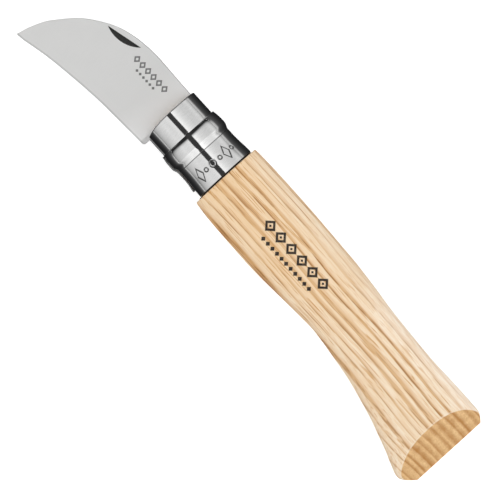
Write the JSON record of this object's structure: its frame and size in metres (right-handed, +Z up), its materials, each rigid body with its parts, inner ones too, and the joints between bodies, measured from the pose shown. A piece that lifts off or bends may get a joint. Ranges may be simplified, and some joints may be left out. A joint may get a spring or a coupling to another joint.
{
  "type": "folding knife",
  "caption": "Folding pocket knife with a short hooked blade, an oval wooden handle with a fishtail butt, and a turning collar ring that locks the blade.",
  "frame": {"origin": "on the surface the knife lies on, under the centre of its bounding box, with the blade open", "axes": "+X from the blade's tip to the butt, +Y from the belly to the spine, +Z up, along the rivet"},
  "size_m": [0.1382, 0.0268, 0.0186],
  "materials": {
    "wood": "thinly varnished pale ash",
    "blade_steel": "satin ground stainless steel",
    "collar_steel": "polished stainless steel",
    "ring_steel": "polished stainless steel",
    "rivet_steel": "plain steel"
  },
  "bodies": {
    "handle": {"handle": "wood", "fixed_collar": "collar_steel", "pivot_pin": "rivet_steel"},
    "blade": {"blade": "blade_steel"},
    "locking_ring": {"locking_ring": "ring_steel"}
  },
  "joints": [
    {"name": "blade_fold", "type": "hinge", "parent": "handle", "child": "blade", "pos_m": [-0.0211, 0.00396, 0.0093], "axis": [0, 0, 1], "range_deg": [0, 168]},
    {"name": "ring_turn", "type": "hinge", "parent": "handle", "child": "locking_ring", "pos_m": [-0.0191, 0.00396, 0.0093], "axis": [1, 0, 0], "range_deg": [0, 75]}
  ]
}
